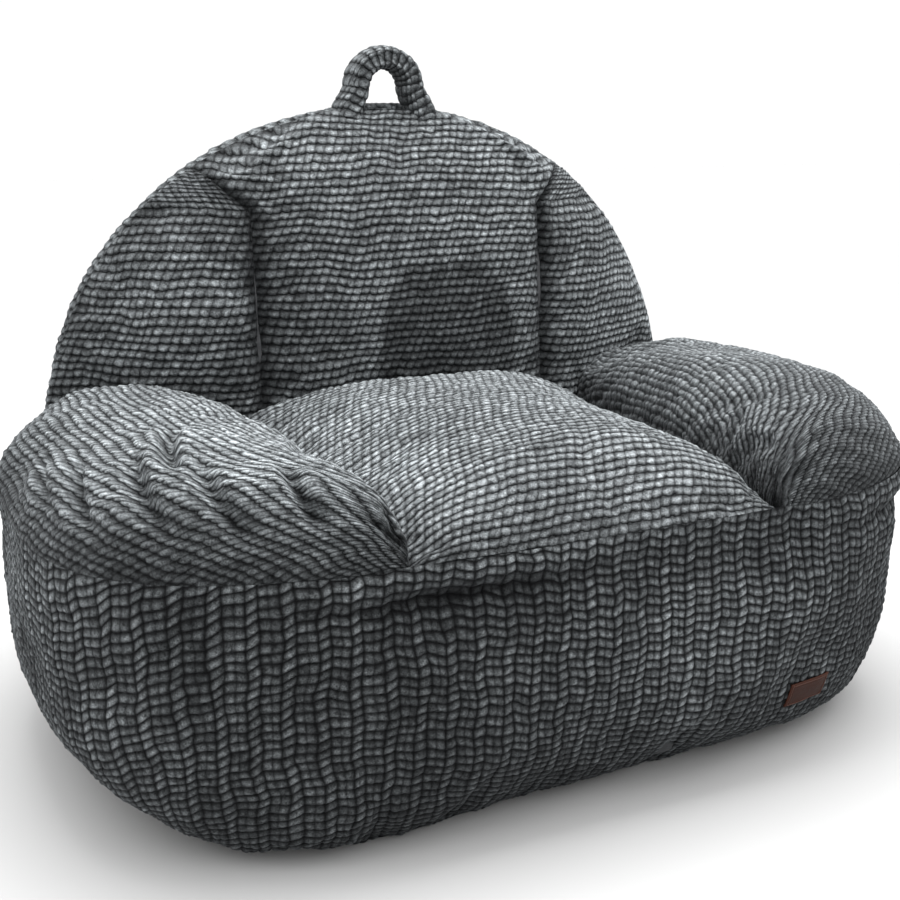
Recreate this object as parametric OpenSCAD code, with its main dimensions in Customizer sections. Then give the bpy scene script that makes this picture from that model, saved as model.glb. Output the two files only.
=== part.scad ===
// Bean bag armchair: a sewn cover of knitted plush over four chambers of shredded foam.
// Millimetres, +Z up, the front faces -Y, origin on the floor under the middle of the chair.

/* [Overall] */
// Width over the arms at their widest
overall_w = 960; // [920:10:1000]
// Depth from the front to the rear
overall_d = 706; // [690:2:730]
// Height of the backrest, without the handle
back_h = 655; // [640:5:680]
// Height of the seam round the front and the sides
seam_h = 285; // [275:5:295]

/* [Seat and arms] */
// Highest line of the arms
arm_h = 366; // [358:2:376]
// Half distance between the arms at the front seam
gap_front = 194; // [185:1:200]
// Half distance between the arms at the backrest
gap_rear = 231; // [225:1:240]
// Height of the seat's side seams at the backrest
seat_rear_h = 300; // [290:1:305]
// How far the seat is crowned above its side seams
seat_crown = 46; // [35:1:52]
// How far the arms bulge over their seams
arm_bulge = 8; // [4:1:12]

/* [Backrest] */
// Half width of the centre panel of the backrest
centre_half = 181; // [170:1:190]
// Distance from the middle of the chair to the face of the backrest, at the seat
face_y = 92; // [85:1:100]
// How far the face leans back over its height
lean = 28; // [20:1:35]
// Distance from the middle of the chair to the top edge of the backrest
top_y = 178; // [172:1:185]
// How far the centre panel of the backrest is crowned between its seams
face_crown = 8; // [0:1:12]
// How far the wings of the backrest are crowned
wing_crown = 16; // [0:1:20]

/* [Handle] */
// Width over the legs of the handle
handle_w = 124; // [115:1:135]
// Height of the handle above the backrest
handle_rise = 71; // [68:1:78]
// Thickness of the padded band
band_t = 25; // [22:1:28]
// Width of the padded band, front to rear
band_w = 44; // [38:1:48]

/* [Zipper] */
// Length of the zipper chain
zip_len = 290; // [250:10:300]
// Height of the zipper above the floor
zip_h = 205; // [195:1:215]

/* [Hidden] */
$fn = 32;

plush = "dimgray";
plush_dark = "slategray";
lining = "darkslategray";
foam = "wheat";
leather = "saddlebrown";
zip_black = "black";
zip_metal = "silver";

skin_t = 3;              // thickness of the knitted plush
fill_depth = 9;          // how far the foam lies under the outer surface
side_gap = 3;            // from a chamber's foam to the line between two chambers
sheet_t = 1.6;           // thickness of the dividers and of the base fabric
seam_gap = 0.6;          // half of the gap between two panels at their seam

front_n = 3.6;           // squareness of the plan outline in front
rear_n = 2.5;            // squareness of the plan outline behind
taper = 14;              // how far the walls lean in towards the floor
foot_h = 130;            // height over which the walls round under
foot_front = 72;         // how far they round under, in front
foot_side = 120;         // and at the sides and the rear
arm_fall = 14;           // how far the arms' top line falls towards the backrest
arm_turn = 24;           // plan direction in which the arms end
back_turn = 25;          // plan direction in which the backrest begins
arm_outer = 2;           // squareness of an arm's section on its outer side
arm_inner = 2.7;         // and on its inner side
edge_power = 3.4;        // shape of the backrest's outline
cap_h = 592;             // height at which the centre panel reaches the outline
flare_h = 545;           // height at which it begins to flare
top_round = 135;         // height over which the face rounds back to the top
rear_power = 2.4;        // shape of the rear profile
panel_foot = 300;        // lowest line of the panels on the face of the backrest

function sgn_pow(c, p) = sign(c) * pow(abs(c), p);
function lerp(a, b, t) = a + (b - a) * t;
function clamp(t) = max(0, min(1, t));
function lift(p, z) = [p[0], p[1], z];
function mirrored(g) = [for (r = g) [for (p = r) [-p[0], p[1], p[2]]]];
function steps(n) = [for (i = [0:n]) i / n];

// Plan outline of the body in direction a, set in by d.
function outline(a, d = 0) =
  let (n = sin(a) < 0 ? front_n : rear_n, hw = overall_w / 2 - d, hd = overall_d / 2 - d)
  let (r = pow(pow(abs(cos(a)) / hw, n) + pow(abs(sin(a)) / hd, n), -1 / n))
  [r * cos(a), r * sin(a)];

// The front outline's y at distance x from the middle.
function front_y(x) = -overall_d / 2 * pow(1 - pow(abs(x) / (overall_w / 2), front_n), 1 / front_n);

// The level direction from the outline straight into the body.
function inward(a) =
  let (n = sin(a) < 0 ? front_n : rear_n, p = outline(a), hw = overall_w / 2, hd = overall_d / 2)
  let (g = [sgn_pow(p[0] / hw, n - 1) / hw, sgn_pow(p[1] / hd, n - 1) / hd])
  -g / norm(g);

corner_turn = atan2(front_y(gap_front), gap_front);
seam_inner = [gap_front - 2, front_y(gap_front) + 27];
rear_slope = (outline(back_turn)[1] - face_y) / (outline(back_turn)[0] - centre_half);
seat_end = [gap_rear, face_y + rear_slope * (gap_rear - centre_half) - 7];

// How far the wall stands in from its widest line, at height z in direction a.
function foot(a) = lerp(foot_front, foot_side, clamp((sin(a) + 0.9) / 1.2));
function wall_in(z, a, d = 0) =
  d + taper * (1 - z / seam_h) + foot(a) * (1 - sqrt(1 - pow(max(0, 1 - z / foot_h), 2)));

// Stations round the front and one side: v runs from the front seam corner to the backrest.
function turn_at(v) = lerp(corner_turn, arm_turn, v);
function inner_at(v) = [lerp(seam_inner[0], seat_end[0], v), lerp(seam_inner[1], seat_end[1], v)];
function side_dir(v) = let (o = outline(turn_at(v)), i = inner_at(v)) (i - o) / norm(i - o);
function side_len(v) = norm(inner_at(v) - outline(turn_at(v)));
function inner_z(v) = lerp(seam_h + 4, seat_rear_h, v);
function arm_top(v) =
  seam_h + (arm_h - seam_h - arm_fall * pow(v, 2)) * pow(1 - pow(1 - clamp(v / 0.5), 3), 0.5);

// A point on the wall under an arm, and a point on the arm: t from outer to inner seam.
function side_wall(v, z, d) =
  lift(outline(turn_at(v)) + inward(turn_at(v)) * wall_in(z, turn_at(v), d), z);
function arm_point(v, t, d) =
  let (c = side_len(v), e = 2 / (t < 0.5 ? arm_outer : arm_inner), s = sin(180 * t))
  let (x = c / 2 - (c / 2 - d + arm_bulge * clamp(c / 150) * s) * sgn_pow(cos(180 * t), e))
  let (z0 = lerp(seam_h, inner_z(v), t))
  lift(outline(turn_at(v)) + side_dir(v) * x, z0 + (arm_top(v) - d - z0) * pow(s, e));

// A point on the front wall, at u from -1 (left) to 1 (right).
function front_wall(u, z, d) =
  let (x = u * gap_front, a = atan2(front_y(x), x))
  lift([x, front_y(x)] + inward(a) * wall_in(z, a, d), z);

// A point on the seat: u from -1 to 1 across, v from the front seam to the backrest.
function seat_point(u, v, d) =
  let (side = inner_at(v), x = u * (side[0] - d * 0.5), bow = pow(1 - v, 4))
  let (y = side[1] + (front_y(u * gap_front) + 2 + d - seam_inner[1]) * bow - 4 * v)
  let (roll = pow(sin(90 * clamp(v / 0.16)), 0.8), dip = 1 - 0.35 * pow(v, 3))
  let (crown = seat_crown * (1 - pow(abs(u), 2.6)) * roll * dip)
  [x, y, inner_z(v) + 14 * roll * (1 - pow(abs(u), 6)) + crown - d * roll];

// The backrest at height z: its outline, its face, its edge and its rear.
function back_half(z, d) =
  let (q = z / (back_h - d), a = outline(back_turn)[0])
  a * sqrt(max(0, 1 - pow(q, edge_power))) - d
    - foot_side * (1 - sqrt(1 - pow(max(0, 1 - z / foot_h), 2))) - taper * max(0, 1 - z / seam_h);
function back_front(z, d) =
  let (q = clamp((z - back_h + top_round) / (top_round - d)))
  let (leaning = face_y + d + lean * max(0, z - panel_foot) / (back_h - panel_foot))
  lerp(leaning, top_y, 1 - sqrt(1 - q * q));
function back_edge(z) =
  let (low = face_y + rear_slope * (back_half(z, 0) - centre_half))
  let (high = lerp(outline(back_turn)[1], top_y, pow(z / back_h, 2)))
  lerp(low, high, clamp((z - seam_h) / 150));
function back_rear(z, d) =
  let (q = clamp((z - seam_h) / (back_h - d - seam_h)), reach = overall_d / 2 - top_y - d)
  top_y + reach * pow(1 - pow(q, rear_power), 1 / rear_power)
    - wall_in(min(z, seam_h), 90);

// Half width of the centre panel at height z.
function panel_half(z) =
  z < flare_h ? centre_half
    : z < cap_h ? lerp(centre_half, back_half(cap_h, 0), (z - flare_h) / (cap_h - flare_h))
    : back_half(z, 0);

// A point on the face at x, and a point on the rear at q from -1 to 1, both at height z.
function face_point(x, z, d) =
  let (a = back_half(z, d), flat = min(centre_half / a, 0.78), q = clamp(abs(x) / a))
  let (t = max(0, (q - flat) / (1 - flat)), fade = clamp((flare_h - z) / 120) * clamp((z - arm_h + 14) / 80))
  let (puff = t > 0 ? wing_crown * 4 * t * (1 - t) : face_crown * (1 - pow(q / flat, 4)))
  [x, lerp(back_front(z, d), back_edge(z), t) - puff * fade, z];
function rear_point(q, z, d) =
  let (a = back_half(z, d), e = back_edge(z))
  [a * q, e + (back_rear(z, d) - e) * pow(max(0, 1 - pow(abs(q), 3)), 0.54), z];

// ---- solids from grids of points ----

function quads(n, m, o, flip) =
  [for (i = [0:n - 2]) for (j = [0:m - 2])
    let (a = o + i * m + j, b = a + 1, c = a + m + 1, d = a + m)
    each flip ? [[a, c, b], [a, d, c]] : [[a, b, c], [a, c, d]]];

// A sheet between two grids of the same size.
module sheet(top, under) {
  n = len(top);
  m = len(top[0]);
  k = n * m;
  rim = concat(
    [for (j = [0:m - 1]) j],
    [for (i = [1:n - 1]) i * m + m - 1],
    [for (j = [m - 2:-1:0]) (n - 1) * m + j],
    [for (i = [n - 2:-1:1]) i * m]
  );
  sides = [for (i = [0:len(rim) - 1])
    let (a = rim[i], b = rim[(i + 1) % len(rim)])
    each [[a, b + k, b], [a, a + k, b + k]]];
  points = concat([for (r = top) each r], [for (r = under) each r]);
  polyhedron(points, concat(quads(n, m, 0, false), quads(n, m, k, true), sides));
}

// A closed body through rings of points, with a flat cap at each end.
module body(rings) {
  n = len(rings);
  m = len(rings[0]);
  function centre(r) = [for (c = [0:2]) [for (p = r) 1] * [for (p = r) p[c]] / len(r)];
  walls = [for (i = [0:n - 2]) for (j = [0:m - 1])
    let (a = i * m + j, b = i * m + (j + 1) % m, c = b + m, d = a + m)
    each [[a, b, c], [a, c, d]]];
  caps = [for (j = [0:m - 1])
    let (k = (j + 1) % m, o = (n - 1) * m)
    each [[k, j, n * m], [o + j, o + k, n * m + 1]]];
  points = concat([for (r = rings) each r], [centre(rings[0]), centre(rings[n - 1])]);
  polyhedron(points, concat(walls, caps));
}

// ---- cover ----

wall_z = [1, 8, 24, 50, 85, 130, 180, 230, seam_h - seam_gap];
side_v = [for (t = steps(15)) 0.006 + 0.988 * t];

// The band's stations from the left arm's end, round the front, to the right arm's end.
function band_grid(d) =
  let (right = [for (v = side_v) [for (z = wall_z) side_wall(v, z, d)]])
  let (front = [for (u = steps(8)) [for (z = wall_z) front_wall(2 * u - 1, z, d)]])
  concat([for (i = [len(right) - 1:-1:0]) mirrored([right[i]])[0]], front, right);

module front_band() {
  color(plush) sheet(band_grid(0), band_grid(skin_t));
}

module label_patch() {
  start_v = 0.055;
  function grid(d) = [for (t = steps(6)) [for (s = steps(4))
    side_wall(start_v + 0.084 * t, lerp(62, 90, s), d)]];
  color(leather) sheet(grid(-2.6), grid(-0.6));
}

function seat_grid(d) =
  [for (u = steps(14)) [for (v = [0, 0.03, 0.07, 0.12, 0.2, 0.32, 0.46, 0.6, 0.74, 0.87, 0.97])
    seat_point((2 * u - 1) * 0.985, v, d)]];

module seat_panel() {
  color(plush) sheet(seat_grid(0), seat_grid(skin_t));
}

arm_v = concat([0.03, 0.06, 0.1, 0.15], [for (t = steps(9)) 0.21 + 0.785 * t]);
arm_t = [for (t = steps(13)) 0.012 + 0.976 * t];
function arm_grid(d) = [for (v = arm_v) [for (t = arm_t) arm_point(v, t, d)]];

module arm_panel_right() {
  color(plush) sheet(arm_grid(0), arm_grid(skin_t));
}

module arm_panel_left() {
  mirror([1, 0, 0]) arm_panel_right();
}

centre_z = concat([panel_foot, 345, 390, 435, 480, 515],
  [for (t = steps(4)) lerp(flare_h, cap_h, t)], [606, 620, 632, 642, 649, back_h - 2]);
function centre_grid(d) =
  [for (z = centre_z) [for (u = steps(12))
    face_point((2 * u - 1) * (panel_half(z) * 0.998 - 2 * seam_gap), z - d * (z / back_h), d)]];

module back_centre_panel() {
  color(plush) sheet(centre_grid(skin_t), centre_grid(0));
}

wing_z = [panel_foot, 335, 370, 405, 440, 475, 510, flare_h, 560, 574, 584];
function wing_grid(d) =
  [for (z = wing_z) [for (t = steps(9))
    face_point(lerp(panel_half(z) + seam_gap, back_half(z, d) - 1, t), z - d * (z / back_h), d)]];

module back_wing_right() {
  color(plush_dark) sheet(wing_grid(skin_t), wing_grid(0));
}

module back_wing_left() {
  mirror([1, 0, 0]) back_wing_right();
}

// The two rear panels part round the zipper: half of that opening at distance x.
function zip_gap(x) = seam_gap + 14.4 * clamp((zip_len / 2 + 44 - abs(x)) / 22);
rear_q = [for (t = steps(24)) 2 * t - 1];
function zip_line(q, side) = zip_h + side * zip_gap(q * back_half(zip_h, 0));

function rear_low_grid(d) =
  [for (q = rear_q) [for (s = [0, 0.03, 0.1, 0.22, 0.4, 0.6, 0.8, 1])
    rear_point(q * 0.997, lerp(1, zip_line(q, -1), s), d)]];
function rear_high_grid(d) =
  [for (q = rear_q) [for (s = [0, 0.1, 0.22, 0.36, 0.5, 0.64, 0.77, 0.87, 0.94, 0.98, 1])
    let (z = lerp(zip_line(q, 1), back_h - 2, s))
    rear_point(q * 0.997, z - d * s, d)]];

module rear_lower_panel() {
  color(plush) sheet(rear_low_grid(skin_t), rear_low_grid(0));
}

module rear_upper_panel() {
  color(plush) sheet(rear_high_grid(skin_t), rear_high_grid(0));
}

// The base is one flat sheet inside the foot of the walls.
function base_outline() =
  let (side = [for (v = side_v) side_wall(v, 0, 0)])
  let (front = [for (u = steps(8)) front_wall(2 * u - 1, 0, 0)])
  let (rear = [for (q = [for (t = steps(20)) 1 - 2 * t]) rear_point(q * 0.99, 0, 0)])
  [for (p = concat(mirrored([[for (i = [len(side) - 1:-1:0]) side[i]]])[0], front, side, rear))
    [p[0], p[1]] * 0.995];

module base_panel() {
  color(lining) linear_extrude(sheet_t) polygon(base_outline());
}

// ---- foam ----

fill_foot = sheet_t + 1;
fill_z = [fill_foot, 10, 26, 52, 86, 130, 180, 230, seam_h - 4];

function seat_ring(u) =
  let (d = fill_depth)
  concat(
    [for (z = fill_z) let (p = front_wall(u, z, d)) [p[0], p[1], z]],
    [for (v = [0.03, 0.07, 0.12, 0.2, 0.32, 0.46, 0.6, 0.74, 0.87, 0.96])
      seat_point(u, v, d)],
    [let (p = seat_point(u, 0.96, d)) [p[0], p[1], fill_foot]]
  );

module seat_fill() {
  color(foam) body([for (u = steps(12)) seat_ring((2 * u - 1) * 0.965)]);
}

// The chamber of an arm is shallow at its front end, where the wall rounds under it.
function arm_foot(v) =
  let (room = side_len(v) - side_gap - fill_depth - taper - 26, m = clamp(room / foot(turn_at(v))))
  max(fill_foot, foot_h * (1 - sqrt(1 - pow(1 - m, 2))));

function arm_ring(v) =
  let (d = fill_depth, c = side_len(v), dir = side_dir(v), o = outline(turn_at(v)))
  let (low = arm_foot(v), high = seam_h - 4)
  concat(
    [lift(o + dir * (c - side_gap), low)],
    [for (z = fill_z) side_wall(v, lerp(low, high, (z - fill_foot) / (high - fill_foot)), d)],
    [for (t = [for (t = steps(12)) 0.03 + 0.94 * t]) arm_point(v, t, d)],
    [lift(o + dir * (c - side_gap), inner_z(v) - 8)]
  );

module arm_fill_right() {
  color(foam) body([for (v = concat([0.06, 0.1, 0.15, 0.21], [for (t = steps(8)) 0.3 + 0.685 * t]))
    arm_ring(v)]);
}

module arm_fill_left() {
  mirror([1, 0, 0]) arm_fill_right();
}

function back_ring(z) =
  let (d = fill_depth + 2, a = back_half(z, d))
  concat(
    [for (u = steps(14)) face_point((2 * u - 1) * a, z, d)],
    [for (u = [1:17]) rear_point(1 - 2 * u / 18, z, d)]
  );

module back_fill() {
  heights = [fill_foot, 10, 26, 52, 86, 130, 180, 240, 300, 360, 420, 475, 525, 565, 597, 620,
    636, back_h - fill_depth - 8];
  color(foam) body([for (i = [len(heights) - 1:-1:0]) back_ring(heights[i])]);
}

// ---- dividers between the chambers ----

// An upright sheet along the inner seam of an arm, cut back in front where the wall rounds under.
module arm_divider_right() {
  a = inner_at(0.07);
  b = inner_at(0.955);
  len = norm(b - a);
  top = seam_h - 10;
  start = a[1] - front_y(a[0]);
  front = [for (z = [fill_foot, 12, 30, 55, 90, foot_h])
    [max(0, wall_in(z, corner_turn, fill_depth) - start), z]];
  color(lining) translate([a[0], a[1], 0]) rotate([90, 0, atan2(b[1] - a[1], b[0] - a[0])])
    translate([0, 0, -sheet_t / 2]) linear_extrude(sheet_t)
      polygon(concat(front, [[0, top], [len, top], [len, fill_foot]]));
}

module arm_divider_left() {
  mirror([1, 0, 0]) arm_divider_right();
}

module back_divider() {
  end = outline(arm_turn, foot_side + 24);
  shift = 3.2;
  front = [[-end[0], end[1] - shift], [-centre_half, face_y - shift],
    [centre_half, face_y - shift], [end[0], end[1] - shift]];
  rear = [for (i = [3:-1:0]) front[i] + [0, sheet_t]];
  color(lining) translate([0, 0, fill_foot]) linear_extrude(seam_h - 12)
    polygon(concat(front, rear));
}

// ---- handle ----

handle_pivot = back_h + 6;                   // height of the line on which the handle folds
arch_half = 34;                              // half width of the arch, to the middle of the band
arch_z = back_h + handle_rise - arch_half - band_t / 2;
foot_half = (handle_w - band_t) / 2;         // the same, at the line where it is sewn down

// Section of the padded band with softened edges, across its thickness and its width.
module band_section(t, w) {
  c = 7;
  polygon([[-t / 2, -w / 2 + c], [-t / 2 + c, -w / 2], [t / 2 - c, -w / 2], [t / 2, -w / 2 + c],
    [t / 2, w / 2 - c], [t / 2 - c, w / 2], [-t / 2 + c, w / 2], [-t / 2, w / 2 - c]]);
}

// A leg spreads outwards and narrows to the rolled hem on which it is sewn down and folds.
module handle_leg(side) {
  hull() {
    translate([side * arch_half, 0, arch_z - 0.5]) linear_extrude(0.5) band_section(band_t, band_w);
    translate([side * foot_half, 0, handle_pivot]) rotate([0, 90, 0])
      cylinder(h = band_t, r = 4.4, center = true);
  }
  translate([side * foot_half, 0, handle_pivot]) rotate([0, 90, 0])
    cylinder(h = band_t + 1, r = 5, center = true);
}

module handle_loop() {
  color(plush) translate([0, top_y, 0]) {
    translate([0, 0, arch_z]) rotate([90, 0, 0]) rotate_extrude(angle = 180)
      translate([arch_half, 0]) band_section(band_t, band_w);
    handle_leg(-1);
    handle_leg(1);
  }
}

// ---- zipper, straight across the rear ----

tape_t = 1;
tape_y = back_rear(zip_h, fill_depth) + 0.8;
tape_w = 13;
tooth_t = 2;
tooth_h = 5;
tooth_pitch = 4;
chain_y = tape_y + tape_t;
slider_l = 13;
slider_x = zip_len / 2 - slider_l / 2 - 4;
play = 0.35;
plate_y = chain_y + tooth_t + play;
plate_t = 1.4;
eye_y = plate_y + plate_t + 1.7;
pin_r = 0.8;
pull_l = 30;

module tape(side) {
  color(zip_black)
    translate([-zip_len / 2 - 4, tape_y, zip_h + (side > 0 ? 0.2 : -tape_w - 0.2)])
    cube([zip_len + 8, tape_t, tape_w]);
}

module zipper_tape_upper() {
  tape(1);
}

module zipper_tape_lower() {
  tape(-1);
}

module zipper_teeth() {
  n = floor((zip_len - 8) / tooth_pitch);
  color(zip_black) for (i = [0:n - 1])
    translate([(i - n / 2) * tooth_pitch + 0.8, chain_y, zip_h - tooth_h / 2])
      cube([tooth_pitch - 1.6, tooth_t, tooth_h]);
}

module zipper_stops() {
  color(zip_metal) for (side = [-1, 1])
    translate([side * (zip_len / 2 - 1) - 1.2, chain_y, zip_h - 3.5]) cube([2.4, tooth_t + 1, 7]);
}

// A channel over the teeth, with an eye for the pull above it.
module zipper_slider() {
  wall = 1.3;
  inner = tooth_h / 2 + play;
  color(zip_metal) translate([slider_x, 0, zip_h]) {
    translate([-slider_l / 2, plate_y, -inner - wall]) cube([slider_l, plate_t, 2 * (inner + wall)]);
    for (side = [-1, 1])
      translate([-slider_l / 2, chain_y + play, side > 0 ? inner : -inner - wall])
        cube([slider_l, tooth_t + 0.1, wall]);
    difference() {
      translate([-3.4, plate_y + plate_t - 0.1, -1]) cube([6.8, 3.6, 2]);
      translate([0, eye_y, 0]) cylinder(h = 4, r = pin_r + play, center = true);
    }
  }
}

// The pull turns on a pin through the slider's eye and lies flat along the chain.
module zipper_pull() {
  tab_h = 8;
  tab_t = 1.6;
  color(zip_metal) translate([slider_x, eye_y, zip_h]) {
    cylinder(h = 5.2, r = pin_r, center = true);
    for (side = [-1, 1]) translate([-7.5, -pin_r, side > 0 ? 1.5 : -2.6]) cube([7.5, tab_t, 1.1]);
    difference() {
      translate([-pull_l, -pin_r, -tab_h / 2]) cube([pull_l - 6.5, tab_t, tab_h]);
      translate([-pull_l + 4, 0, 0]) rotate([90, 0, 0]) cylinder(h = 6, r = 1.8, center = true);
    }
  }
}

base_panel();
front_band();
seat_panel();
arm_panel_left();
arm_panel_right();
back_centre_panel();
back_wing_left();
back_wing_right();
rear_upper_panel();
rear_lower_panel();
handle_loop();
label_patch();
seat_fill();
arm_fill_left();
arm_fill_right();
back_fill();
arm_divider_left();
arm_divider_right();
back_divider();
zipper_tape_upper();
zipper_tape_lower();
zipper_teeth();
zipper_stops();
zipper_slider();
zipper_pull();
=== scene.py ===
"""The looks of a bean bag armchair: a sewn cover of knitted plush, its foam bags and its fittings.

Metres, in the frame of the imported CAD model: +Z up, the front faces -Y.
The cover's panels follow the same surfaces as the CAD model's, from the same driving dimensions.
"""

import math

import bpy
import numpy as np
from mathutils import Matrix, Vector


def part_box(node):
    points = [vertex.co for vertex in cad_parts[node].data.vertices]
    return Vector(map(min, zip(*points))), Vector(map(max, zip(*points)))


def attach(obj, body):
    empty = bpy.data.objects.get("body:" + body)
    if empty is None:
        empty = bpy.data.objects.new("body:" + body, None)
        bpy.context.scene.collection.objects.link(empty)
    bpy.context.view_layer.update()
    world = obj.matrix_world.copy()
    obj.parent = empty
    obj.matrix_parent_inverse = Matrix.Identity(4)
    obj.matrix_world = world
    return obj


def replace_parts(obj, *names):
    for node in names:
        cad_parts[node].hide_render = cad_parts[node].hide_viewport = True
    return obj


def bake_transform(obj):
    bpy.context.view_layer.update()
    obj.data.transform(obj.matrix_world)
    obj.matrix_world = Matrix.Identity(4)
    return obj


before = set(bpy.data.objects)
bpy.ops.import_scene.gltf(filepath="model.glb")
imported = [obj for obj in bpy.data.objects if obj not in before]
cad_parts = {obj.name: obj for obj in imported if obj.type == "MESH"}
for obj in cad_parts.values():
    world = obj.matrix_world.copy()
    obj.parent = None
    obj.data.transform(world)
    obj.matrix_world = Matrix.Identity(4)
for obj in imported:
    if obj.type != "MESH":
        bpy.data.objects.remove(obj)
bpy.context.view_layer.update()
scene = bpy.context.scene

# ---- driving dimensions, as in the CAD model ----

OVERALL_W, OVERALL_D = 0.960, 0.706
BACK_H, SEAM_H, ARM_H = 0.655, 0.285, 0.366
GAP_FRONT, GAP_REAR = 0.194, 0.231
SEAT_REAR_H, SEAT_CROWN, ARM_BULGE = 0.300, 0.046, 0.008
CENTRE_HALF, FACE_Y, LEAN, TOP_Y = 0.181, 0.092, 0.028, 0.178
FACE_CROWN, WING_CROWN = 0.008, 0.016
HANDLE_W, HANDLE_RISE, BAND_T, BAND_W = 0.124, 0.071, 0.025, 0.044
ZIP_LEN, ZIP_H = 0.290, 0.205
FRONT_N, REAR_N = 3.6, 2.5
TAPER, FOOT_H, FOOT_FRONT, FOOT_SIDE = 0.014, 0.130, 0.072, 0.120
ARM_FALL, ARM_OUTER, ARM_INNER = 0.014, 2.0, 2.7
ARM_TUCK, ARM_DOME = -0.018, 0.010  # the stuffed arm leans in a little and domes at the top
ARM_TURN, BACK_TURN = math.radians(24.9), math.radians(25)
EDGE_POWER, REAR_POWER = 3.4, 2.4
CAP_H, FLARE_H, TOP_ROUND, PANEL_FOOT = 0.592, 0.545, 0.135, 0.300

# Distances between the points of the panels' grids.
BAND_SPACING, PANEL_SPACING, ARM_SPACING, REAR_SPACING = 0.0017, 0.0016, 0.0018, 0.0022

SEAM_SINK = 0.008  # how far a seam lies under the panels that it joins
SEAM_REACH = 0.012  # how far from the seam the panels begin to dive
BAND_REACH, FACE_REACH = 0.010, 0.014  # the same, along the band's top and down the backrest
RELIEF = 0.0034  # height of the plush lumps

# The chair stands unevenly on its soft foot: (direction, width, how much more it rounds under).
FEET = ((-2.76, 0.30, 0.070), (-2.20, 0.36, -0.024), (-0.50, 0.22, -0.026))

# ---- small numeric helpers ----


def clip01(x):
    return np.clip(x, 0.0, 1.0)


def lerp(a, b, t):
    return a + (b - a) * t


def ease(x):
    t = clip01(x)
    return t * t * (3 - 2 * t)


def sgn_pow(c, p):
    return np.sign(c) * np.abs(c) ** p


def stack(*parts):
    return np.stack(np.broadcast_arrays(*parts), -1)


def grid(a, b):
    """Two coordinate arrays of a grid: a runs along the first axis and b along the second."""
    return np.meshgrid(np.asarray(a, float), np.asarray(b, float), indexing="ij")


def normals(x, sign=1.0):
    n = np.cross(np.gradient(x, axis=0), np.gradient(x, axis=1)) * sign
    return n / np.maximum(np.linalg.norm(n, axis=-1, keepdims=True), 1e-12)


def even(path, spacing, samples=3000):
    """Parameters from 0 to 1 at which path(t), an array of points, has even arc length."""
    t = np.linspace(0, 1, samples)
    step = np.linalg.norm(np.diff(path(t), axis=0), axis=1)
    along = np.concatenate([[0], np.cumsum(step)])
    count = max(4, int(round(along[-1] / spacing)))
    return np.interp(np.linspace(0, along[-1], count + 1), along, t)


def noise(u, v, scale, seed):
    """Smooth value noise from -1 to 1 over u and v, with cells of the given size."""
    x, y = u / scale, v / scale
    x0, y0 = np.floor(x), np.floor(y)
    fx, fy = ease(x - x0), ease(y - y0)
    ix, iy = (x0 - x0.min()).astype(int), (y0 - y0.min()).astype(int)
    table = np.random.default_rng(seed).uniform(-1, 1, (ix.max() + 2, iy.max() + 2))
    low = lerp(table[ix, iy], table[ix + 1, iy], fx)
    high = lerp(table[ix, iy + 1], table[ix + 1, iy + 1], fx)
    return lerp(low, high, fy)


def resample(a, count, axis):
    """Resamples a grid along one axis with Catmull-Rom curves."""
    a = np.moveaxis(a, axis, 0)
    x = np.linspace(0, len(a) - 1, count)
    i = np.minimum(x.astype(int), len(a) - 2)
    f = (x - i).reshape((-1,) + (1,) * (a.ndim - 1))
    p = [a[np.clip(i + k, 0, len(a) - 1)] for k in (-1, 0, 1, 2)]
    out = p[1] + 0.5 * f * (p[2] - p[0] + f * (
        2 * p[0] - 5 * p[1] + 4 * p[2] - p[3] + f * (3 * (p[1] - p[2]) + p[3] - p[0])
    ))
    return np.moveaxis(out, 0, axis)


# ---- the surfaces of the CAD model ----


def outline(a):
    """Plan outline of the body in direction a."""
    n = np.where(np.sin(a) < 0, FRONT_N, REAR_N)
    hw, hd = OVERALL_W / 2, OVERALL_D / 2
    r = (np.abs(np.cos(a) / hw) ** n + np.abs(np.sin(a) / hd) ** n) ** (-1 / n)
    return stack(r * np.cos(a), r * np.sin(a))


def front_y(x):
    return -OVERALL_D / 2 * (1 - (np.abs(x) / (OVERALL_W / 2)) ** FRONT_N) ** (1 / FRONT_N)


def inward(a):
    n = np.where(np.sin(a) < 0, FRONT_N, REAR_N)
    p, hw, hd = outline(a), OVERALL_W / 2, OVERALL_D / 2
    g = stack(sgn_pow(p[..., 0] / hw, n - 1) / hw, sgn_pow(p[..., 1] / hd, n - 1) / hd)
    return -g / np.linalg.norm(g, axis=-1, keepdims=True)


CORNER_TURN = math.atan2(front_y(GAP_FRONT), GAP_FRONT)
SEAM_INNER = np.array([GAP_FRONT - 0.002, front_y(GAP_FRONT) + 0.027])
BACK_END = outline(np.array(BACK_TURN))
REAR_SLOPE = (BACK_END[1] - FACE_Y) / (BACK_END[0] - CENTRE_HALF)
SEAT_END = np.array([GAP_REAR, FACE_Y + REAR_SLOPE * (GAP_REAR - CENTRE_HALF) - 0.007])


def rounded(z):
    return 1 - np.sqrt(1 - np.maximum(0, 1 - z / FOOT_H) ** 2)


def hump(x, centre, width):
    return np.exp(-(((x - centre) / width) ** 2))


def wall_in(z, a):
    foot = lerp(FOOT_FRONT, FOOT_SIDE, clip01((np.sin(a) + 0.9) / 1.2))
    for centre, width, more in FEET:
        foot = foot + more * hump(a, centre, width)
    return TAPER * (1 - z / SEAM_H) + foot * rounded(z)


def wall_point(a, z):
    """A point on the wall that goes round the front and the sides."""
    p = outline(a) + inward(a) * wall_in(z, a)[..., None]
    return stack(p[..., 0], p[..., 1], z)


def turn_at(v):
    return lerp(CORNER_TURN, ARM_TURN, v)


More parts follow.
